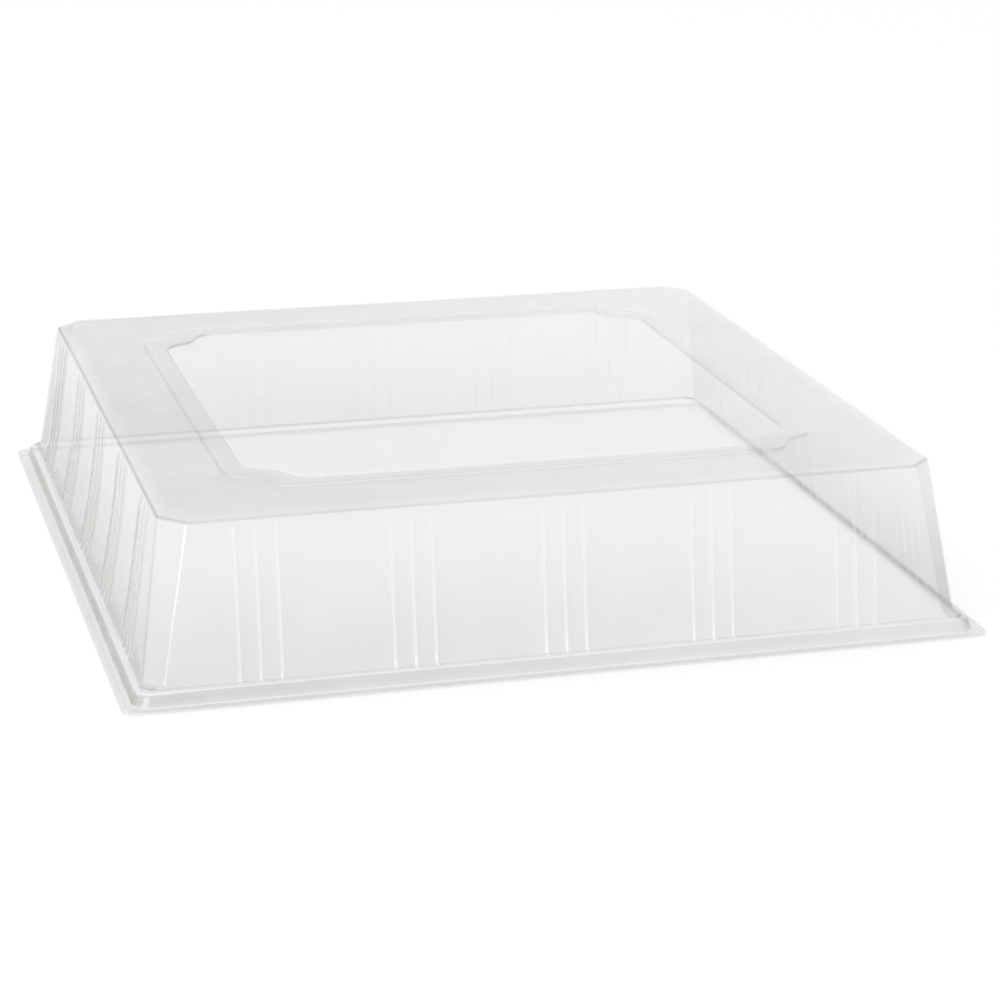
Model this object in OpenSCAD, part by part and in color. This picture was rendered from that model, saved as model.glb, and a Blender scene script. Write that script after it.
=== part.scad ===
// Humidity dome for a square seedling tray: one sheet of clear plastic, thermoformed over a mould.
// The resting face of the flange is at z = 0, and the dome stands centred on the z axis.

/* [Overall] */
// Width and depth across the flange lip
flange_w = 280; // [200:1:400]
// Height from the resting face to the top border
dome_h = 54.6; // [30:0.2:120]
// Thickness of the formed sheet
sheet = 0.5; // [0.4:0.1:1]

/* [Flange] */
// Width of the flat lip that rests on the rim of a tray
lip_w = 3.5; // [2:0.1:12]
// Corner radius of the lip, seen from above
lip_corner_r = 4.5; // [1.5:0.5:15]
// Height of the ledge that the walls stand on
ledge_h = 4.8; // [2:0.1:12]
// Width of the ledge, from the riser's edge to the foot of a wall
ledge_w = 2.8; // [1:0.1:10]
// How far the riser leans in between the lip and the ledge
riser_lean = 1.1; // [0.2:0.1:4]

/* [Walls] */
// How far each wall leans in between the ledge and the top
wall_lean = 7.6; // [2:0.1:20]
// Leg of the corner chamfer at the top
corner_top = 7.6; // [3:0.1:30]
// Leg of the corner chamfer at the ledge
corner_foot = 6; // [2:0.1:30]

/* [Stiffening ribs] */
// Ribs in one group
ribs_in_group = 3; // [1:1:5]
// Distance between neighbouring ribs of a group
rib_spacing = 6.5; // [3:0.1:8]
// Distance between the middles of neighbouring groups
group_spacing = 48; // [35:1:80]
// Width of a rib where it leaves the wall
rib_w = 1.6; // [1:0.1:2.5]
// Height of a rib above the wall
rib_h = 0.5; // [0.3:0.05:0.8]
// Plain wall left between the top of a rib and the top edge
rib_top_gap = 3; // [2:0.5:10]
// Least plain wall left between the last group and the corner
rib_end_gap = 6; // [3:0.5:15]

/* [Top] */
// Plain border between the top edge and the raised frame
border_w = 26.2; // [15:0.1:40]
// Width of the raised frame
frame_w = 8.2; // [3:0.1:14]
// Height of the raised frame above the border and the panel
frame_h = 0.6; // [0.3:0.1:1.5]
// Radius of the scoop in each corner of the frame
scoop_r = 13.8; // [5:0.2:18]
// Radius of the round that leads from a straight side of the frame into the scoop
flare_r = 7.5; // [1:0.5:12]

/* [Hidden] */
$fn = 96;
// Overlap that makes a cut or a union clean
eps = 0.2;
// Widths across the dome, from the lip inwards
riser_foot_w = flange_w - 2 * lip_w;
ledge_edge_w = riser_foot_w - 2 * riser_lean;
wall_foot_w = ledge_edge_w - 2 * ledge_w;
top_w = wall_foot_w - 2 * wall_lean;
// Horizontal thickness of the leaning walls and of the leaning riser
wall_h = dome_h - ledge_h;
wall_angle = atan(wall_lean / wall_h);
wall_inset = sheet / cos(wall_angle);
riser_inset = sheet / cos(atan(riser_lean / ledge_h));
ledge_corner_r = lip_corner_r - sheet;
// A rib is a round bar, sunk in the wall until rib_w and rib_h are what shows
rib_r = (pow(rib_w / 2, 2) + pow(rib_h, 2)) / (2 * rib_h);
rib_sink = rib_r - rib_h;
// How far the bar of a rib goes on below the ledge's top, where the riser's block or the hollow takes it in
rib_root = ledge_h / 2;
group_w = (ribs_in_group - 1) * rib_spacing + rib_w;
group_run = top_w - 2 * corner_top - 2 * rib_end_gap - group_w;
groups = floor(group_run / group_spacing) + 1;
frame_outer_w = top_w - 2 * border_w;
// Distance along a side from the square corner to the centre of the round beside the scoop
flare_reach = sqrt(scoop_r * (scoop_r + 2 * flare_r));
// How far the outline turns in the round before it meets the scoop
flare_turn = atan2(flare_reach, flare_r);
// Straight steps that draw one round and one scoop
flare_steps = 8;
scoop_steps = 11;

// Half the width of the dome at height z, measured on the outer face of a wall
function wall_half(z) = wall_foot_w / 2 - wall_lean * (z - ledge_h) / wall_h;
// Leg of the corner chamfer at height z
function corner_leg(z) = corner_foot + (corner_top - corner_foot) * (z - ledge_h) / wall_h;
// Distance from the axis to a corner chamfer at height z
function corner_half(z) = (2 * wall_half(z) - corner_leg(z)) / sqrt(2);

// A long bar along y, with half widths low and high at heights z0 and z1
module leaning_bar(low, high, z0, z1) {
  rotate([90, 0, 0])
    linear_extrude(2 * flange_w, center = true)
      polygon([[-low, z0], [low, z0], [high, z1], [-high, z1]]);
}

// The dome's block between z0 and z1, drawn in from its outer faces by inset
module wall_block(z0, z1, inset) {
  intersection_for(turn = [0, 90]) {
    rotate(turn)
      intersection() {
        leaning_bar(wall_half(z0) - inset, wall_half(z1) - inset, z0, z1);
        rotate(45) leaning_bar(corner_half(z0) - inset, corner_half(z1) - inset, z0, z1);
      }
  }
}

// A square plate or frustum with round corners, w0 wide at z0 and w1 wide at z1
module rounded_block(w0, w1, z0, z1, corner_r) {
  reach = w1 / 2 - corner_r;
  grow = (w0 - w1) / 2;
  for (turn = [0, 90])
    rotate([90, 0, turn])
      linear_extrude(2 * reach, center = true)
        polygon([[-w0 / 2, z0], [w0 / 2, z0], [w1 / 2, z1], [-w1 / 2, z1]]);
  for (x = [-reach, reach], y = [-reach, reach])
    translate([x, y, z0]) cylinder(h = z1 - z0, r1 = corner_r + grow, r2 = corner_r);
}

// One rib on the wall at -y, lowered into the sheet by depth
module rib(depth) {
  lean = [0, sin(wall_angle), cos(wall_angle)];
  into_wall = [0, cos(wall_angle), -sin(wall_angle)];
  run = wall_h / cos(wall_angle) - rib_top_gap - rib_r;
  start = [0, -wall_foot_w / 2, ledge_h] + into_wall * (rib_sink + depth);
  translate(start - lean * rib_root) rotate([-wall_angle, 0, 0]) cylinder(h = run + rib_root, r = rib_r);
  translate(start + lean * run) sphere(r = rib_r);
}

// All the ribs of the four walls
module ribs(depth) {
  for (turn = [0, 90, 180, 270], g = [0 : groups - 1], i = [0 : ribs_in_group - 1])
    rotate(turn)
      translate([(g - (groups - 1) / 2) * group_spacing + (i - (ribs_in_group - 1) / 2) * rib_spacing, 0, 0])
        rib(depth);
}

// Points on an arc about c with radius r, from angle a0 to angle a1, in the given number of steps
function arc(c, r, a0, a1, steps) =
  [for (i = [0 : steps]) let (a = a0 + (a1 - a0) * i / steps) c + r * [cos(a), sin(a)]];
// A point turned about the origin
function turned(p, angle) = [p.x * cos(angle) - p.y * sin(angle), p.x * sin(angle) + p.y * cos(angle)];
// One corner of the scooped square: a round, the scoop about the square corner c, and a round
function scooped_corner(c) = concat(
  arc(c + [flare_r, flare_reach], flare_r, 180, 180 + flare_turn, flare_steps),
  arc(c, scoop_r, flare_turn, 90 - flare_turn, scoop_steps),
  arc(c + [flare_reach, flare_r], flare_r, 270 - flare_turn, 270, flare_steps)
);

// Square outline with a scoop out of each corner, and a round where a scoop meets a side
module scooped_square(w) {
  polygon([for (turn = [0, 90, 180, 270], p = scooped_corner([-w / 2, -w / 2])) turned(p, turn)]);
}

// The frame on the top, with its upper face at z1, drawn in on both edges by inset
module top_frame(z0, z1, inset) {
  translate([0, 0, z0])
    linear_extrude(z1 - z0)
      difference() {
        scooped_square(frame_outer_w - 2 * inset);
        scooped_square(frame_outer_w - 2 * frame_w + 2 * inset);
      }
}

module dome() {
  color([0.9, 0.92, 0.93, 0.5])
    difference() {
      union() {
        rounded_block(flange_w, flange_w, 0, sheet, lip_corner_r);
        rounded_block(riser_foot_w, ledge_edge_w, 0, ledge_h, ledge_corner_r);
        wall_block(0, dome_h, 0);
        ribs(0);
        top_frame(dome_h - sheet / 2, dome_h + frame_h, 0);
      }
      rounded_block(riser_foot_w - 2 * riser_inset, ledge_edge_w - 2 * riser_inset, -eps, ledge_h - sheet,
        ledge_corner_r - sheet);
      wall_block(0, dome_h - sheet, wall_inset);
      ribs(sheet);
      top_frame(dome_h - 2 * sheet, dome_h + frame_h - sheet, sheet / 2);
    }
}

dome();
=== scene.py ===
# %% [markdown]
# # A humidity dome for a seedling tray
#
# The object is one sheet of clear plastic. A flat sheet is heated until it sags, pulled down over a mould by
# vacuum, cooled and trimmed. So everything on it is a bend in the same sheet: a flat top with a raised frame,
# four leaning walls with ribs, chamfered corners, and a stepped flange whose lip rests on a tray.
#
# This lesson builds the sheet as one closed mesh with a real thickness, because clear plastic only looks right
# when light goes in through one face and out through the other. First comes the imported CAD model, which fixes
# the size and the place.

import bpy
import numpy as np
from mathutils import Matrix, Vector


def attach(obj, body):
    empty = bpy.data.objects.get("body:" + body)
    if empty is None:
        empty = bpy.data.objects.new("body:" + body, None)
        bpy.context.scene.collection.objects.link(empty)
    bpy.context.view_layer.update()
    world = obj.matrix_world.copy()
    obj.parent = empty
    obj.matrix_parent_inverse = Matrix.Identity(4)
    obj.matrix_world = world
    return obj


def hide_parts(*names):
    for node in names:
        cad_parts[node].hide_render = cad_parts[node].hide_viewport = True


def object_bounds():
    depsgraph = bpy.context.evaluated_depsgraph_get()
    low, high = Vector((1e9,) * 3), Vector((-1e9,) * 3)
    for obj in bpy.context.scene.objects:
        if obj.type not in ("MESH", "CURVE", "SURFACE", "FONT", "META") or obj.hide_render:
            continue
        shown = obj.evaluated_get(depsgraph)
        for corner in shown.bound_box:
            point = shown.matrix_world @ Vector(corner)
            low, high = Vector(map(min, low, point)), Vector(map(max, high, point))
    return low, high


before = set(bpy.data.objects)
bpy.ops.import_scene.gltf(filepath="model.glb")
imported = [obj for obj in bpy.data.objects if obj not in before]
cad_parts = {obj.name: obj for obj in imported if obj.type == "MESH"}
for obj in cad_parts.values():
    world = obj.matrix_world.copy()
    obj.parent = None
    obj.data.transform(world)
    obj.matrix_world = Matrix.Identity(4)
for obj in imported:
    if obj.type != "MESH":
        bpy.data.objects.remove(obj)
cad_low, cad_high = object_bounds()
MM = 0.001
flange_half = cad_high.x / MM
frame_top = cad_high.z / MM
print(f"CAD box: {2 * flange_half:.1f} mm wide, {frame_top:.1f} mm high")

# %% [markdown]
# ## The camera
#
# A long lens keeps the far walls nearly as tall as the near ones. The camera stands to the left of the front
# wall and looks a little down, so that the top shows as a shallow band and the left wall as a thin one. Its place
# is worked out from three angles and a distance, with a small sideways and upward shift of the aim.

# %% Camera
CAMERA_TURN = np.radians(-15.716)
CAMERA_RISE = np.radians(17.927)
CAMERA_ROLL = np.radians(0.516)
CAMERA_DISTANCE = 1.0118
CAMERA_ASIDE = 0.0144
CAMERA_ABOVE = 0.0123
LENS_MM = 102.887
SENSOR_MM = 36.0


def make_camera():
    """The back vector points from the aim to the camera: (sin turn, -cos turn) times cos rise, and sin rise.
    Right is level and square to it, up is square to both, and the roll turns right and up about it."""
    back = Vector((np.sin(CAMERA_TURN) * np.cos(CAMERA_RISE), -np.cos(CAMERA_TURN) * np.cos(CAMERA_RISE),
                   np.sin(CAMERA_RISE)))
    level = Vector((0, 0, 1)).cross(back).normalized()
    lift = back.cross(level)
    right = level * np.cos(CAMERA_ROLL) + lift * np.sin(CAMERA_ROLL)
    up = lift * np.cos(CAMERA_ROLL) - level * np.sin(CAMERA_ROLL)
    data = bpy.data.cameras.new("camera")
    data.lens = LENS_MM
    data.sensor_width = SENSOR_MM
    data.clip_start = 0.01
    data.clip_end = 50.0
    camera = bpy.data.objects.new("camera", data)
    bpy.context.scene.collection.objects.link(camera)
    place = right * CAMERA_ASIDE + up * CAMERA_ABOVE + back * CAMERA_DISTANCE
    camera.matrix_world = Matrix.Translation(place) @ Matrix((right, up, back)).transposed().to_4x4()
    return camera


bpy.context.scene.camera = make_camera()
bpy.context.scene.view_settings.view_transform = "Standard"
print("camera at", [round(v, 3) for v in bpy.context.scene.camera.location])

# %% [markdown]
# ## Helpers for colours and nodes
#
# Colours are written as they look on a screen, as hex codes. A renderer adds up light, so it needs them linear.
# One helper adds a node, sets what is set on it and links what feeds it.

# %% Colour and node helpers


def linear(code):
    """sRGB hex to linear red, green, blue and alpha 1: divided by 12.92 under 0.04045, and otherwise
    ((value + 0.055) / 1.055) to the power 2.4."""
    srgb = np.array([int(code[i:i + 2], 16) for i in (1, 3, 5)]) / 255
    low = srgb / 12.92
    high = ((srgb + 0.055) / 1.055) ** 2.4
    return (*np.where(srgb <= 0.04045, low, high).tolist(), 1.0)


def add(tree, kind, settings=None, **inputs):
    """Adds a node. settings are the node's own fields. inputs are sockets by name, with _ for a space: a node
    or a socket is linked and anything else is set as the value. in_0 means the first socket."""
    node = tree.nodes.new(kind)
    for field, value in (settings or {}).items():
        setattr(node, field, value)
    for name, value in inputs.items():
        socket = node.inputs[int(name[3:])] if name.startswith("in_") else node.inputs[name.replace("_", " ")]
        if isinstance(value, bpy.types.Node):
            value = value.outputs[0]
        if isinstance(value, bpy.types.NodeSocket):
            tree.links.new(value, socket)
        else:
            socket.default_value = value
    return node


def new_tree(owner):
    """Turns nodes on for a material or the world, empties its tree and returns the tree."""
    owner.use_nodes = True
    owner.node_tree.nodes.clear()
    return owner.node_tree


# %% [markdown]
# ## The studio
#
# Clear plastic shows what stands round it, so the studio matters as much as the material. The floor is pale and
# catches the shadow. The world is white near the horizon for every ray that looks straight, through the sheet or
# off its gloss. Higher up it turns grey, as the ceiling of a studio does: a fold that tilts up mirrors the
# ceiling and draws itself as a fine dark line. In an all-white room clear plastic has no outline at all.

# %% World and floor
WHITE = linear("#FFFFFF")
SKY_LEVEL = 0.45
FLOOR_FILL = 0.26
CEILING_LEVEL = 0.2


def seen_directly(tree):
    """1 for a ray from the camera, off gloss or through clear material, and 0 for a ray that only lights."""
    path = add(tree, "ShaderNodeLightPath")
    seen = add(tree, "ShaderNodeMath", {"operation": "MAXIMUM"}, in_0=path.outputs["Is Camera Ray"],
               in_1=path.outputs["Is Glossy Ray"])
    return add(tree, "ShaderNodeMath", {"operation": "MAXIMUM"}, in_0=seen,
               in_1=path.outputs["Is Transmission Ray"])


def make_world():
    """The level that is seen falls from 1 to CEILING_LEVEL between 27 and 45 degrees above the horizon."""
    world = bpy.data.worlds.new("studio")
    bpy.context.scene.world = world
    tree = new_tree(world)
    direction = add(tree, "ShaderNodeTexCoord").outputs["Generated"]
    rise = add(tree, "ShaderNodeSeparateXYZ", Vector=direction).outputs["Z"]
    level = add(tree, "ShaderNodeMapRange", {"interpolation_type": "SMOOTHSTEP"}, Value=rise,
                From_Min=float(np.sin(np.radians(27))), From_Max=float(np.sin(np.radians(45))), To_Min=1.0,
                To_Max=CEILING_LEVEL)
    light = add(tree, "ShaderNodeBackground", Color=WHITE, Strength=SKY_LEVEL)
    shown = add(tree, "ShaderNodeBackground", Color=WHITE, Strength=level)
    mixed = add(tree, "ShaderNodeMixShader", in_0=seen_directly(tree), in_1=light, in_2=shown)
    add(tree, "ShaderNodeOutputWorld", Surface=mixed)


def make_floor():
    """A big square under the object. Its paint is pale, and a little light of its own is added for rays that
    look at it, so that it reads white where it is fully lit and greyer in the shadow."""
    size, drop = 30.0, -0.0002
    corners = [(x * size, y * size, drop) for x, y in ((-1, -1), (1, -1), (1, 1), (-1, 1))]
    mesh = bpy.data.meshes.new("floor")
    mesh.from_pydata(corners, [], [(0, 1, 2, 3)])
    floor = bpy.data.objects.new("floor", mesh)
    bpy.context.scene.collection.objects.link(floor)
    paint = bpy.data.materials.new("matt white studio floor")
    tree = new_tree(paint)
    matt = add(tree, "ShaderNodeBsdfDiffuse", Color=linear("#E2E2E1"))
    dark = add(tree, "ShaderNodeEmission", Color=WHITE, Strength=0.0)
    fill = add(tree, "ShaderNodeEmission", Color=WHITE, Strength=FLOOR_FILL)
    extra = add(tree, "ShaderNodeMixShader", in_0=seen_directly(tree), in_1=dark, in_2=fill)
    both = add(tree, "ShaderNodeAddShader", in_0=matt, in_1=extra)
    add(tree, "ShaderNodeOutputMaterial", Surface=both)
    mesh.materials.append(paint)


make_world()
make_floor()
print("world and floor are in place")

# %% [markdown]
# ## The lamps
#
# Glossy folds are drawn by what they mirror, so two of the lamps are softboxes with a size. The tall one at the
# front left draws a bright line down the left flank of each rib and down the edge of the near corner. The wide one
# on the left brightens the flat of that corner. The even light from above is a sun lamp spread over a wide angle:
# it doesn't fall off, so the floor stays equally white far behind the object.

# %% Lamps


def place_lamp(name, kind, place, aim):
    """A lamp of one kind at place, facing aim. The camera doesn't see it."""
    data = bpy.data.lights.new(name, kind)
    lamp = bpy.data.objects.new(name, data)
    bpy.context.scene.collection.objects.link(lamp)
    lamp.location = place
    lamp.rotation_mode = "QUATERNION"
    lamp.rotation_quaternion = (Vector(aim) - Vector(place)).to_track_quat("-Z", "Y")
    lamp.visible_camera = False
    return data


def softbox(name, place, aim, width, height, level):
    """An area lamp of width by height metres. Its power is pi times its area times the level it shows, in which
    the white background is 1."""
    data = place_lamp(name, "AREA", place, aim)
    data.shape = "RECTANGLE"
    data.size = width
    data.size_y = height
    data.energy = np.pi * width * height * level


softbox("front left softbox", (-0.85, -1.3, 0.45), (0, 0, 0.03), 0.9, 0.8, 3.4)
softbox("left softbox", (-1.5, -0.4, 0.4), (0, 0, 0.03), 0.5, 0.8, 0.8)
sun = place_lamp("even light from above", "SUN", (-0.3, 0.25, 1.0), (0, 0, 0))
sun.energy = 1.7
sun.angle = np.radians(80)

# %% [markdown]
# ## The section of the sheet
#
# Cut the dome down the middle and the sheet is one bent line: flat lip, leaning riser, ledge, leaning wall,
# and the flat top. The same line goes all round, so it is worked out once. Each bend is an arc. An arc could
# be drawn by a Bevel modifier, but a formula lets the radius grow towards the corners, as it does on a formed
# sheet, where the plastic is thinnest and bridges the mould.
#
# All sizes in these cells are in millimetres.

# %% Sizes of the section
SHEET = 0.5
LIP_W = 3.5
RISER_LEAN = 1.1
LEDGE_W = 2.8
LEDGE_H = 4.8
WALL_LEAN = 7.6
FRAME_H = 0.6
BORDER_W = 26.2
FRAME_W = 8.2
dome_h = frame_top - FRAME_H
riser_foot = flange_half - LIP_W
ledge_edge = riser_foot - RISER_LEAN
wall_foot = ledge_edge - LEDGE_W
top_half = wall_foot - WALL_LEAN
print(f"half widths: ledge {ledge_edge:.1f}, wall foot {wall_foot:.1f}, top {top_half:.1f}; top at {dome_h:.1f}")

# %% [markdown]
# ## Places along one side
#
# The dome is square and its four sides are alike, so one side is laid out and turned three times. The sheet
# needs close points only where it bends: over each rib, and round the corners. Between them a few are enough.

# %% Places along one side
RIB_GROUPS = 5
GROUP_SPACING = 48.3
RIBS_IN_GROUP = 3
RIB_SPACING = 6.5
RIB_W = 1.7
RIB_H = 0.3
ACROSS_RIB = np.array([-1.0, -0.64, -0.32, 0.0, 0.32, 0.64, 1.0])
ARC_STEPS = 5
CHAMFER_STEPS = 4

groups = (np.arange(RIB_GROUPS) - (RIB_GROUPS - 1) / 2) * GROUP_SPACING
members = (np.arange(RIBS_IN_GROUP) - (RIBS_IN_GROUP - 1) / 2) * RIB_SPACING
rib_x = (groups[:, None] + members[None, :]).ravel()
rib_points = (rib_x[:, None] + ACROSS_RIB[None, :] * RIB_W / 2).ravel()
between_ribs = (rib_x[:-1] + rib_x[1:]) / 2
between_groups = ((groups[:-1] + groups[1:]) / 2)[:, None] + np.array([-10.0, 10.0])[None, :]
fixed_x = np.unique(np.round(np.concatenate([rib_points, between_ribs, between_groups.ravel()]), 4))
last_fixed = fixed_x[-1]
END_RUN = np.array([0.3, 0.65, 1.0])
ARC_TURN = np.linspace(0, 1, ARC_STEPS + 1)[1:]
CHAMFER_RUN = np.linspace(0, 1, CHAMFER_STEPS + 1)[1:]


def half_columns(n_fixed):
    """For the columns from the middle of a side to the diagonal: how far each is along the fixed places, the end
    run, the arc and the chamfer. Each is held at its end once it is passed."""
    runs = [n_fixed, len(END_RUN), len(ARC_TURN), len(CHAMFER_RUN)]
    starts = np.cumsum([0] + runs)
    total = starts[-1]
    held = []
    for values, start in zip((END_RUN, ARC_TURN, CHAMFER_RUN), starts[1:]):
        line = np.zeros(total)
        line[start:start + len(values)] = values
        line[start + len(values):] = 1.0
        held.append(line)
    return held


right_x = fixed_x[fixed_x >= 0]
left_x = -fixed_x[fixed_x < 0][::-1]
right = half_columns(len(right_x))
left = half_columns(len(left_x))
padding = len(END_RUN) + ARC_STEPS + CHAMFER_STEPS
col_sign = np.concatenate([-np.ones(len(left_x) + padding), np.ones(len(right_x) + padding - 1)])
col_x = np.concatenate([np.concatenate([left_x, np.full(padding, last_fixed)])[::-1],
                        np.concatenate([right_x, np.full(padding, last_fixed)])[:-1]])
col_end, col_arc, col_chamfer = [np.concatenate([a[::-1], b[:-1]]) for a, b in zip(left, right)]
print(f"{len(col_x)} columns on each side, {len(rib_x)} of them on the crests of ribs")

# %% [markdown]
# ## How close a place is to a corner
#
# Three bends grow towards the corners: the foot of the chamfer, the edge of the ledge, and the edge of the top.
# A weight that is 0 along a side and 1 on the chamfer gives each of them its radius.

# %% Corner weight


def smooth(value, start, stop):
    """0 before start, 1 after stop, and 3 t^2 - 2 t^3 between, with t the share of the way."""
    t = np.clip((value - start) / (stop - start), 0, 1)
    return t * t * (3 - 2 * t)


nominal_x = col_x + (top_half - 9 - last_fixed) * col_end
on_chamfer = smooth(col_arc, 0.0, 1.0)
near_corner = np.maximum(smooth(col_end, 0.25, 1.0), on_chamfer)

# %% [markdown]
# ## Rows of the sheet
#
# A row is one line round the dome, at a half width and a height. Each bend of the section gives a few rows and
# each flat gives one or two.

# %% Rows


def bend(before, fold, after, radius, steps):
    """Rows of an arc that rounds the fold between two straight lines. The arc's points are the fold plus the
    radius times fixed offsets: its centre lies on the bisector at radius / sin(half the angle), and it turns
    from the end of the first line to the start of the second."""
    a, b, c = (np.array(p, float) for p in (before, fold, after))
    to_a = (a - b) / np.linalg.norm(a - b)
    to_c = (c - b) / np.linalg.norm(c - b)
    half = np.arccos(np.clip(to_a @ to_c, -1, 1)) / 2
    middle = (to_a + to_c) / np.linalg.norm(to_a + to_c)
    centre = middle / np.sin(half)
    first = to_a / np.tan(half) - centre
    last = to_c / np.tan(half) - centre
    turn = np.arccos(np.clip(first @ last, -1, 1))
    t = np.linspace(0, 1, steps + 1)[:, None]
    arc = (np.sin((1 - t) * turn) * first + np.sin(t * turn) * last) / np.sin(turn)
    offsets = centre + arc
    return b[None, :, None] + offsets[:, :, None] * np.asarray(radius)[None, None, :]


def join(parts, inner_rows):
    """Puts inner_rows[i] evenly spaced rows between one part and the next, and stacks everything."""
    rows = [parts[0]]
    for part, count in zip(parts[1:], inner_rows):
        t = (np.arange(count) + 1)[:, None, None] / (count + 1)
        rows.append(rows[-1][-1:] * (1 - t) + part[:1] * t)
        rows.append(part)
    return np.concatenate([r for r in rows if len(r)])


same = np.ones_like(col_x)
lip_edge_at = (flange_half, SHEET)
riser_foot_at = (riser_foot, SHEET)
ledge_edge_at = (ledge_edge, LEDGE_H)
wall_foot_at = (wall_foot, LEDGE_H)
top_edge_at = (top_half, dome_h)
centre_at = (0.0, dome_h)
lip_edge_rows = np.array(lip_edge_at)[None, :, None] * same[None, None, :]
section = join([
    lip_edge_rows,
    bend(lip_edge_at, riser_foot_at, ledge_edge_at, 0.7 * same, 4),
    bend(riser_foot_at, ledge_edge_at, wall_foot_at, 0.8 + 0.9 * near_corner, 5),
    bend(ledge_edge_at, wall_foot_at, top_edge_at, 0.8 + 1.4 * on_chamfer, 5),
    bend(wall_foot_at, top_edge_at, centre_at, 1.6 * same, 7),
], [1, 1, 1, 15])
row_w, row_z = section[:, 0], section[:, 1]
print(f"{len(section)} rows from the lip to the top edge")

# %% [markdown]
# ## Corners of the rows
#
# On the walls a corner is a flat chamfer with two softly rounded edges. On the flange it is a plain round. Both
# are the same shape, an arc of 45 degrees, a flat and another arc of 45 degrees: in a plain round the flat has
# no length. So one formula makes every row, and the sheet passes smoothly from one kind to the other.

# %% Corners of the rows
TAN_22 = np.tan(np.pi / 8)
CORNER_TOP = 7.6
CORNER_FOOT = 6.0
CHAMFER_ROUND = 2.4
ROUND_AT = [wall_foot, ledge_edge, riser_foot, flange_half]
ROUNDS = np.array([CHAMFER_ROUND, 5.2, 5.6, 4.5])
PLAIN_ROUND = 2 * TAN_22 / np.sqrt(2)
LEGS = np.concatenate([[CORNER_FOOT], PLAIN_ROUND * ROUNDS[1:]])


def corner_sizes(w, z):
    """The chamfer's leg and the radius of its edges at half width w and height z: by height on the walls and by
    width on the flange."""
    up_wall = (z - LEDGE_H) / (dome_h - LEDGE_H)
    leg = np.where(w < wall_foot, CORNER_FOOT + (CORNER_TOP - CORNER_FOOT) * up_wall, np.interp(w, ROUND_AT, LEGS))
    return leg, np.interp(w, ROUND_AT, ROUNDS)


def side_row(w, z):
    """Places along a side, and out from the axis, for rows of half width w: straight to the arc, round it, and
    along the chamfer to the diagonal."""
    leg, radius = corner_sizes(w, z)
    straight = w - leg - radius * TAN_22
    angle = col_arc * np.pi / 4
    along = col_x + (straight - col_x) * col_end
    along = along + radius * np.sin(angle)
    out = w - radius * (1 - np.cos(angle))
    diagonal = w - leg / 2
    along = along + (diagonal - along) * col_chamfer
    out = out + (diagonal - out) * col_chamfer
    return col_sign * along, out


along, out = side_row(row_w, row_z)
print("widest row", round(float(out.max()), 2), "mm from the axis")

# %% [markdown]
# ## Ribs and the bow of the walls
#
# The ribs are shallow waves pressed into the sheet. They stand on the ledge and fade out just under the top.
# A real wall isn't flat: it shrinks as it cools and bows in by about a millimetre. Both push the rows of the
# wall along its own normal.

# %% Ribs and bow
RIB_TOP_GAP = 3.0
RIB_FADE = 2.0
WALL_BOW = 1.0
wall_height = dome_h - LEDGE_H
wall_slope = np.arctan2(WALL_LEAN, wall_height)
up_wall = np.clip((row_z - LEDGE_H) / wall_height, 0, 1)
on_wall = (row_z > LEDGE_H + 1e-6) & (row_w < wall_foot + 2.5)


def rib_wave(x):
    """Height of the ribs at x: half a cosine wave over each rib, (1 + cos(pi t)) / 2 with t from -1 to 1."""
    t = np.clip((x[..., None] - rib_x) / (RIB_W / 2), -1, 1)
    return RIB_H * ((1 + np.cos(np.pi * t)) / 2).sum(-1)


below_top = dome_h - row_z
rib_height = rib_wave(along) * smooth(below_top, RIB_TOP_GAP - RIB_FADE, RIB_TOP_GAP + RIB_FADE / 2)
bow_depth = WALL_BOW * 4 * up_wall * (1 - up_wall) * (1 - np.clip(along / (top_half - 12), -1, 1) ** 2)
push = np.where(on_wall, rib_height - bow_depth, 0)
out = out + push * np.cos(wall_slope)
height = row_z + push * np.sin(wall_slope)
print(f"ribs stand {rib_height.max():.2f} mm out and the walls bow in {bow_depth.max():.2f} mm")

# %% [markdown]
# ## The frame on the top
#
# The frame is a raised band with scooped corners. Its outline is a straight side, a small round, and a scoop
# cut about the square corner. The same columns follow it, so the top joins the walls without a seam.

# %% Outline of the frame
SCOOP_R = 13.8
FLARE_R = 7.5
TOP_STEP = 1.2
frame_outer = top_half - BORDER_W
frame_inner = frame_outer - FRAME_W


def scooped_row(corner, inset):
    """The scooped outline whose square corner is at corner, drawn in by inset. The small round touches the side
    and the scoop: its centre is flare + scoop from the square corner, and flare in from the side."""
    side = corner - inset
    scoop = SCOOP_R + inset
    flare = FLARE_R - inset
    deep = corner - side + flare
    centre_x = corner - np.sqrt((scoop + flare) ** 2 - deep ** 2)
    centre_out = side - flare
    meet = np.arctan2(corner - centre_x, corner - centre_out)
    straight = np.minimum(nominal_x, nominal_x[col_arc == 0].max()) / nominal_x[col_arc == 0].max()
    angle = col_arc * meet
    x = centre_x * straight + flare * np.sin(angle)
    y = centre_out + flare * np.cos(angle)
    scoop_from = np.pi + meet
    scoop_angle = scoop_from + (np.pi * 1.25 - scoop_from) * col_chamfer
    on_scoop = col_chamfer > 0
    x = np.where(on_scoop, corner + scoop * np.sin(scoop_angle), x)
    y = np.where(on_scoop, corner + scoop * np.cos(scoop_angle), y)
    return col_sign * x, y


def step_rows(corner, start, rise, drop, steps):
    """Rows up or down a step: the outline moves in by TOP_STEP while the height follows half a cosine wave."""
    t = np.linspace(0, 1, steps + 1)
    rows = [scooped_row(corner, start + TOP_STEP * s) for s in t]
    level = rise + (drop - rise) * (1 - np.cos(np.pi * t)) / 2
    return np.array([r[0] for r in rows]), np.array([r[1] for r in rows]), level


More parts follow.
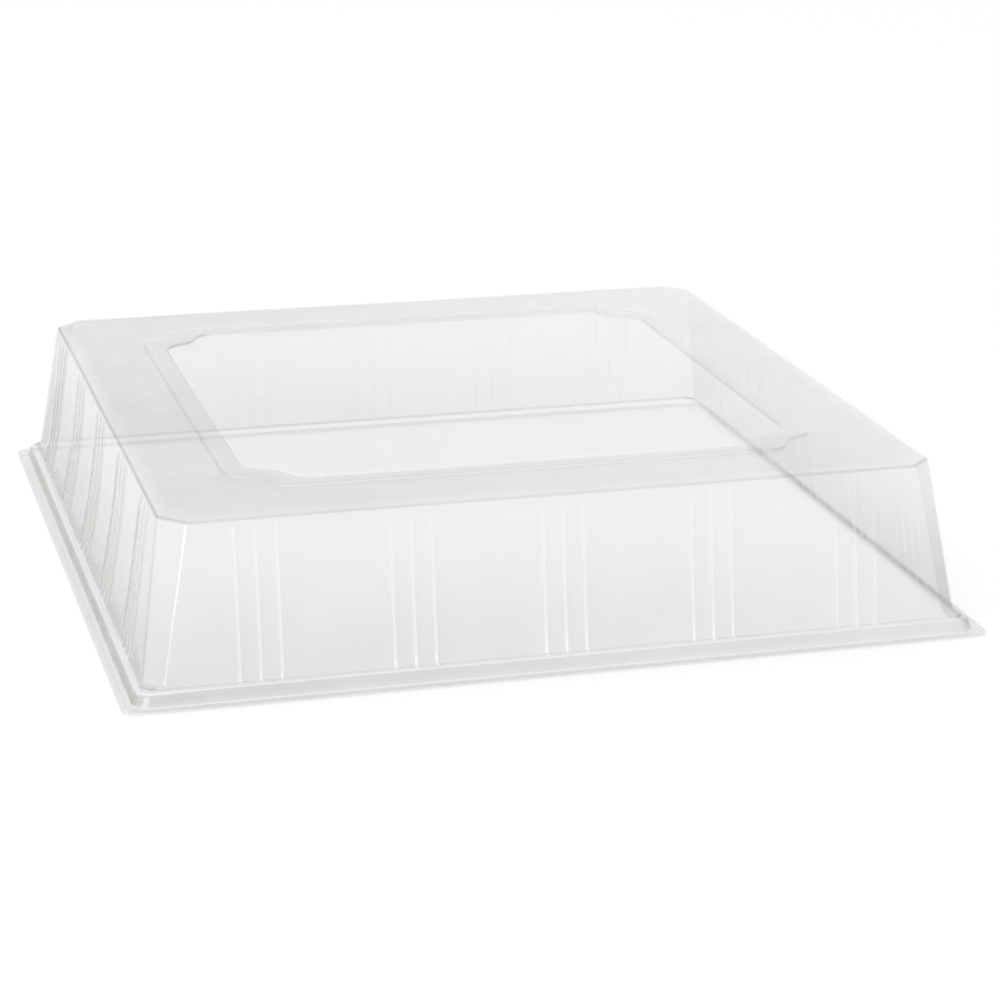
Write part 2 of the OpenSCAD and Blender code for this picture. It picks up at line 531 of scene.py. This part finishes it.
outer_x, outer_y, outer_level = step_rows(frame_outer, 0.0, 0.0, FRAME_H, 5)
inner_x, inner_y, inner_level = step_rows(frame_inner, -TOP_STEP, FRAME_H, 0.0, 5)

# %% Rows of the top
BORDER_ROWS = 4
BAND_ROWS = 1
PANEL_SCALES = np.array([0.9, 0.75, 0.58, 0.42, 0.27, 0.14, 0.05])


def blend_rows(first, last, count):
    """count rows evenly between two rows."""
    t = (np.arange(count) + 1)[:, None] / (count + 1)
    return first * (1 - t) + last * t


top_x = np.concatenate([blend_rows(along[-1], outer_x[0], BORDER_ROWS), outer_x,
                        blend_rows(outer_x[-1], inner_x[0], BAND_ROWS), inner_x,
                        PANEL_SCALES[:, None] * inner_x[-1]])
top_out = np.concatenate([blend_rows(out[-1], outer_y[0], BORDER_ROWS), outer_y,
                          blend_rows(outer_y[-1], inner_y[0], BAND_ROWS), inner_y,
                          PANEL_SCALES[:, None] * inner_y[-1]])
top_level = np.concatenate([np.zeros(BORDER_ROWS), outer_level, np.full(BAND_ROWS, FRAME_H), inner_level,
                            np.zeros(len(PANEL_SCALES))])
side_x = np.concatenate([along, top_x])
side_out = np.concatenate([out, top_out])
side_z = np.concatenate([height, dome_h + top_level[:, None] * same[None, :]])
print(f"{side_x.shape[0]} rows by {4 * side_x.shape[1]} columns")

# %% [markdown]
# ## From one side to the whole sheet
#
# The side is turned about the axis for the other three. A cooled sheet is never quite true, so the top sags a
# little in the middle and the whole sheet has a slow ripple of a tenth of a millimetre, which is what breaks up
# its reflections.

# %% The outer face
TOP_SAG = 0.9
RIPPLE = 0.08


def whole_ring(x, o, z):
    """Turns one side's points by 0, 90, 180 and 270 degrees and puts them in one ring. A side at distance o
    faces -y before it is turned."""
    sides = []
    for c, s in ((1, 0), (0, 1), (-1, 0), (0, -1)):
        sides.append(np.stack([c * x + s * o, s * x - c * o, z], axis=-1))
    return np.concatenate(sides, axis=1)


def sagged(p):
    """Lowers the top by the sag times (1 - (x/w)^2) (1 - (y/w)^2), where w is the top's half width."""
    share = np.clip(1 - (p[..., :2] / top_half) ** 2, 0, 1).prod(-1)
    on_top = smooth(p[..., 2], dome_h - 1.5, dome_h - 0.2)
    p[..., 2] -= TOP_SAG * share * on_top
    return p


def rippled(p):
    """Adds slow waves along each axis, made of sines whose lengths don't divide each other. They fade out at the
    lip, which lies flat."""
    x, y, z = (p[..., i] for i in range(3))
    loose = smooth(z, LEDGE_H, LEDGE_H + 8)
    p[..., 0] += RIPPLE * loose * np.sin(y / 17 + 1.3) * np.sin(z / 11 + 0.4)
    p[..., 1] += RIPPLE * loose * np.sin(x / 19 + 0.2) * np.sin(z / 13 + 2.1)
    p[..., 2] -= RIPPLE * loose * (1 + np.sin(x / 23 + 0.9) * np.sin(y / 21 + 1.7))
    return p


outer_face = rippled(sagged(whole_ring(side_x, side_out, side_z)))
print("outer face reaches", np.round(outer_face.reshape(-1, 3).max(0), 2))

# %% [markdown]
# ## Giving the sheet its thickness
#
# A Solidify modifier could add the second face. Here it is worked out from the same grid: each point moves in
# along its normal by the sheet's thickness, so both faces stay smooth and share their columns. A strip closes
# the trimmed edge of the lip, and each face ends in one point at the middle of the panel.

# %% The closed sheet


def normals(p):
    """Unit normals of a grid that closes on itself across its columns: the cross product of the steps to the
    neighbours along the ring and up the rows."""
    ring = np.roll(p, -1, axis=1) - np.roll(p, 1, axis=1)
    rise = np.gradient(p, axis=0)
    n = np.cross(ring, rise)
    return n / np.linalg.norm(n, axis=-1, keepdims=True)


def sheet_mesh(name, face, thickness):
    """One closed mesh: the outer grid, the inner grid turned inside out, a strip along the lip's edge, and a fan
    to one point at the middle of each face."""
    rows, cols = face.shape[:2]
    inner = face - thickness * normals(face)
    inner[0, :, 2] = 0.0
    tip = face[-1].mean(0)
    points = np.concatenate([face.reshape(-1, 3), inner.reshape(-1, 3), [tip, tip - [0, 0, thickness]]]) * MM
    index = np.arange(rows * cols).reshape(rows, cols)
    after = np.roll(index, -1, axis=1)
    quads = np.stack([index[:-1], after[:-1], after[1:], index[1:]], -1).reshape(-1, 4)
    under = rows * cols
    edge = np.stack([index[0] + under, after[0] + under, after[0], index[0]], -1)
    quads = np.concatenate([quads, quads[:, ::-1] + under, edge])
    fan = np.stack([index[-1], after[-1], np.full(cols, 2 * under)], -1)
    fan_under = np.stack([after[-1] + under, index[-1] + under, np.full(cols, 2 * under + 1)], -1)
    tris = np.concatenate([fan, fan_under])
    mesh = bpy.data.meshes.new(name)
    mesh.from_pydata(points.tolist(), [], quads.tolist() + tris.tolist())
    mesh.polygons.foreach_set("use_smooth", np.ones(len(mesh.polygons), bool))
    mesh.update()
    return mesh


shell = bpy.data.objects.new("dome_sheet", sheet_mesh("dome_sheet", outer_face, SHEET))
bpy.context.scene.collection.objects.link(shell)
triangles = sum(len(p.vertices) - 2 for p in shell.data.polygons)
print(f"the sheet has {triangles} triangles")

# %% [markdown]
# ## Where the sheet is hazy, and where shade and highlights are painted on it
#
# The mould is polished under the middle panel and blasted elsewhere, so the sheet copies a fine haze on its
# border and walls, and stays clear in the panel. The haze is on the outer face, and the inner face, which
# touched nothing, is much clearer. Along the top edge and the steps of the frame the haze is raised and its grey
# darkened: painted shade, which stands in for the dark lines that refraction and reflection draw along folds.
# On the ribs the grey is lighter: a painted highlight, which draws each rib as a light line. These amounts are
# stored on the mesh as three attributes, point by point, so they follow the shape exactly.

# %% Haze, painted fold shade and painted rib highlights over the sheet
RISER_HAZE = 1.9
FLAT_HAZE = 0.45
WALL_FOOT_HAZE = 1.28
WALL_TOP_HAZE = 0.54
# The extra haze at the top edge and on the frame's steps is painted shade along the folds.
TOP_EDGE_HAZE_AND_SHADE = 1.7
BORDER_HAZE = 0.78
PANEL_HAZE = 0.38
STEP_HAZE_AND_SHADE = 0.95
CHAMFER_HAZE = 1.05
INNER_WALL_SHARE = 0.68
INNER_FLANGE_SHARE = 0.15
# How far the haze's grey darkens at the top edge and on the steps: painted shade along the folds.
TOP_EDGE_PAINTED_SHADE = 0.9
STEP_PAINTED_SHADE = 0.35
FOLD_REACH = 1.0


def along_top(border, step, band, last_step, panel):
    """One value for each row of the top: the border, the outer step, the band, the inner step and the panel."""
    outer = np.full(len(outer_level), step)
    outer[[0, -1]] = [border, band]
    inner = np.full(len(inner_level), step)
    inner[[0, -1]] = [band, last_step]
    return np.concatenate([np.full(BORDER_ROWS, border), outer, np.full(BAND_ROWS, band), inner,
                           np.full(len(PANEL_SCALES), panel)])


def near_fold(w, z, fold):
    """1 at a fold of the section and 0 at FOLD_REACH mm from it, along the middle of a side."""
    return 1 - smooth(np.hypot(w - fold[0], z - fold[1]), 0.2, FOLD_REACH)


middle = len(col_x) // 2
at_top_edge = near_fold(row_w[:, middle], row_z[:, middle], top_edge_at)
# On the walls the haze falls from the foot to the top, so they are darker towards the bottom.
up_side = WALL_FOOT_HAZE + (WALL_TOP_HAZE - WALL_FOOT_HAZE) * smooth(up_wall[:, middle], 0.0, 0.9)
mid_z = row_z[:, middle]
on_riser = smooth(mid_z, SHEET + 0.1, SHEET + 0.7) * (1 - smooth(mid_z, LEDGE_H - 0.5, LEDGE_H - 0.1))
side_haze = np.where(on_wall[:, middle], up_side, FLAT_HAZE + (RISER_HAZE - FLAT_HAZE) * on_riser)
side_haze = side_haze + (TOP_EDGE_HAZE_AND_SHADE - side_haze) * at_top_edge
haze_rows = np.concatenate([side_haze, along_top(BORDER_HAZE, STEP_HAZE_AND_SHADE, BORDER_HAZE, PANEL_HAZE, PANEL_HAZE)])
# These rows darken the haze's grey: painted shade along the top edge and the steps of the frame.
fold_shade_rows = np.concatenate([TOP_EDGE_PAINTED_SHADE * at_top_edge, along_top(0.0, STEP_PAINTED_SHADE, 0.0, 0.0, 0.0)])
chamfer_rows = np.concatenate([on_wall[:, middle], np.zeros(len(top_x), bool)])
more = 1 + (CHAMFER_HAZE - 1) * np.tile(on_chamfer, 4)
haze_grid = haze_rows[:, None] * np.where(chamfer_rows[:, None], more[None, :], 1.0)
# These rows lighten the haze's grey on the ribs: a painted highlight.
rib_highlight_grid = np.zeros_like(haze_grid)
rib_highlight_grid[:len(row_w)] = np.tile(np.where(on_wall, rib_height / RIB_H, 0), 4)
fold_shade_grid = np.repeat(fold_shade_rows[:, None], len(more), axis=1)


def store_grid(mesh, name, grid, inner_share):
    """One value for each point of the outer grid. The inner face gets its share of it, and the two middle points
    take the last row's value."""
    face, inner = grid.ravel(), (grid * inner_share).ravel()
    values = np.concatenate([face, inner, face[-1:], inner[-1:]])
    layer = mesh.attributes.new(name, "FLOAT", "POINT")
    layer.data.foreach_set("value", values.astype(np.float32))
    print(name, "runs from", round(float(values.min()), 2), "to", round(float(values.max()), 2))


inner_share = np.where(chamfer_rows, INNER_WALL_SHARE, INNER_FLANGE_SHARE)[:, None]
store_grid(shell.data, "haze", haze_grid, inner_share)
# The bend attribute carries the painted shade along the folds.
store_grid(shell.data, "bend", fold_shade_grid, 0.3)
# The rib attribute carries the painted highlight on the ribs.
store_grid(shell.data, "rib", rib_highlight_grid, 0.0)

# %% [markdown]
# ## Clear PET sheet
#
# Domes are formed from PET, a clear plastic with an index of 1.57. The sheet is thin and its two faces are
# parallel, so what is behind it is not bent, and straight transparency shows it better than refraction would:
# refracted rays get trapped in the bends of a sheet this thin, and turn them black.
#
# Three things make it visible. Haze: a fine scatter in the surface, which grows as the line of sight through the
# sheet gets longer, so a wall seen edge-on is greyer. Gloss: it mirrors the studio, more at a glancing angle.
# And a faint warm grey tone, darker along the folds as painted shade and lighter on the ribs as a painted
# highlight; the haze is also greyer on the left side, as painted shade. Lamps have to reach what stands under
# the dome, so for the rays that only light, the sheet is plainly see-through.

# %% Clear PET
PET_IOR = 1.57
PET_ROUGHNESS = 0.1
HAZE = 0.16
LEAST_FACING = 0.5
PATH_POWER = 1.5
MOTTLE = 0.1
PATCH_MM = 22
# The haze is raised on the left side and lowered on the right: painted shade, greyer on the left and clearer on
# the right.
PAINTED_SHADE_LEFT = 1.42
PAINTED_SHADE_RIGHT = 0.72
RIPPLE_MM = 4
RIPPLE_DEPTH_MM = 0.02


def mottle_and_side_shade(tree, place):
    """HAZE, times a painted shade that makes the left side greyer and the right side clearer, and made up to
    MOTTLE more or less in cloudy patches about PATCH_MM across."""
    across = add(tree, "ShaderNodeSeparateXYZ", Vector=place).outputs["X"]
    painted_side_shade = add(tree, "ShaderNodeMapRange", Value=across, From_Min=-flange_half * MM, From_Max=flange_half * MM,
                To_Min=HAZE * PAINTED_SHADE_LEFT, To_Max=HAZE * PAINTED_SHADE_RIGHT)
    cloud = add(tree, "ShaderNodeTexNoise", Vector=place, Scale=1 / (PATCH_MM * MM), Detail=2.0, Roughness=0.5)
    patches = add(tree, "ShaderNodeMapRange", Value=cloud.outputs["Fac"], From_Min=0.2, From_Max=0.8,
                  To_Min=1 - MOTTLE, To_Max=1 + MOTTLE)
    return add(tree, "ShaderNodeMath", {"operation": "MULTIPLY"}, in_0=painted_side_shade, in_1=patches).outputs["Value"]


def outside(tree):
    """1 on faces that are met from the air, and 0 on faces that are met from within the sheet."""
    within = add(tree, "ShaderNodeNewGeometry").outputs["Backfacing"]
    return add(tree, "ShaderNodeMath", {"operation": "SUBTRACT"}, in_0=1.0, in_1=within)


def path_haze(tree, place):
    """1 - (1 - haze) to the power of the path's length: the share of light that a film scatters along the line
    of sight. The length is 1 / cos, where cos is how squarely the face is seen, raised to PATH_POWER, because
    scattered light is scattered again."""
    amount = add(tree, "ShaderNodeAttribute", {"attribute_name": "haze"}).outputs["Fac"]
    haze = add(tree, "ShaderNodeMath", {"operation": "MULTIPLY"}, in_0=amount, in_1=mottle_and_side_shade(tree, place))
    clear = add(tree, "ShaderNodeMath", {"operation": "SUBTRACT"}, in_0=1.0, in_1=haze)
    facing = add(tree, "ShaderNodeLayerWeight", Blend=0.5).outputs["Facing"]
    squarely = add(tree, "ShaderNodeMath", {"operation": "SUBTRACT"}, in_0=1.0, in_1=facing)
    squarely = add(tree, "ShaderNodeMath", {"operation": "MAXIMUM"}, in_0=squarely, in_1=LEAST_FACING)
    length = add(tree, "ShaderNodeMath", {"operation": "POWER"}, in_0=squarely, in_1=-PATH_POWER)
    passed = add(tree, "ShaderNodeMath", {"operation": "POWER"}, in_0=clear, in_1=length)
    return add(tree, "ShaderNodeMath", {"operation": "SUBTRACT"}, in_0=1.0, in_1=passed)


def clear_pet():
    """A hazy see-through film under gloss for rays that look, and plain transparency for rays that only light."""
    material = bpy.data.materials.new("clear PET sheet, thermoformed")
    tree = new_tree(material)
    place = add(tree, "ShaderNodeTexCoord").outputs["Object"]
    waves = add(tree, "ShaderNodeTexNoise", Vector=place, Scale=1 / (RIPPLE_MM * MM), Detail=1.0)
    wavy = add(tree, "ShaderNodeBump", Height=waves.outputs["Fac"], Distance=RIPPLE_DEPTH_MM * MM)
    bend = add(tree, "ShaderNodeAttribute", {"attribute_name": "bend"}).outputs["Fac"]
    # Towards dark grey where the bend attribute is high: painted shade along the folds.
    haze_grey_with_fold_shade = add(tree, "ShaderNodeMix", {"data_type": "RGBA"}, Factor=bend)
    haze_grey_with_fold_shade.inputs["A"].default_value = linear("#959591")
    haze_grey_with_fold_shade.inputs["B"].default_value = linear("#5A5A59")
    # Towards light grey on the ribs: a painted highlight, which draws each rib as a light line.
    rib = add(tree, "ShaderNodeAttribute", {"attribute_name": "rib"}).outputs["Fac"]
    haze_grey_with_painted_light = add(tree, "ShaderNodeMix", {"data_type": "RGBA"}, Factor=rib, A=haze_grey_with_fold_shade.outputs["Result"])
    haze_grey_with_painted_light.inputs["B"].default_value = linear("#DADAD8")
    air = outside(tree)
    share = add(tree, "ShaderNodeMath", {"operation": "MULTIPLY"}, in_0=path_haze(tree, place), in_1=air)
    mirrored = add(tree, "ShaderNodeFresnel", IOR=PET_IOR)
    gloss_share = add(tree, "ShaderNodeMath", {"operation": "MULTIPLY"}, in_0=mirrored, in_1=air)
    clear = add(tree, "ShaderNodeBsdfTransparent", Color=WHITE)
    haze = add(tree, "ShaderNodeBsdfDiffuse", Color=haze_grey_with_painted_light.outputs["Result"], Normal=wavy)
    film = add(tree, "ShaderNodeMixShader", in_0=share, in_1=clear, in_2=haze)
    gloss = add(tree, "ShaderNodeBsdfGlossy", Color=WHITE, Roughness=PET_ROUGHNESS, Normal=wavy)
    sheet = add(tree, "ShaderNodeMixShader", in_0=gloss_share, in_1=film, in_2=gloss)
    lets_by = add(tree, "ShaderNodeBsdfTransparent", Color=linear("#F6F6F6"))
    path = add(tree, "ShaderNodeLightPath")
    lights = add(tree, "ShaderNodeMath", {"operation": "MAXIMUM"}, in_0=path.outputs["Is Shadow Ray"],
                 in_1=path.outputs["Is Diffuse Ray"])
    both = add(tree, "ShaderNodeMixShader", in_0=lights, in_1=sheet, in_2=lets_by)
    add(tree, "ShaderNodeOutputMaterial", Surface=both)
    return material


shell.data.materials.append(clear_pet())
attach(shell, "root")
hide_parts("dome")
print("the sheet stands for the CAD node dome")

# %% [markdown]
# ## The size
#
# The CAD box is printed.

# %% Size of the CAD box
print("CAD", [round(v, 4) for v in (*cad_low, *cad_high)])
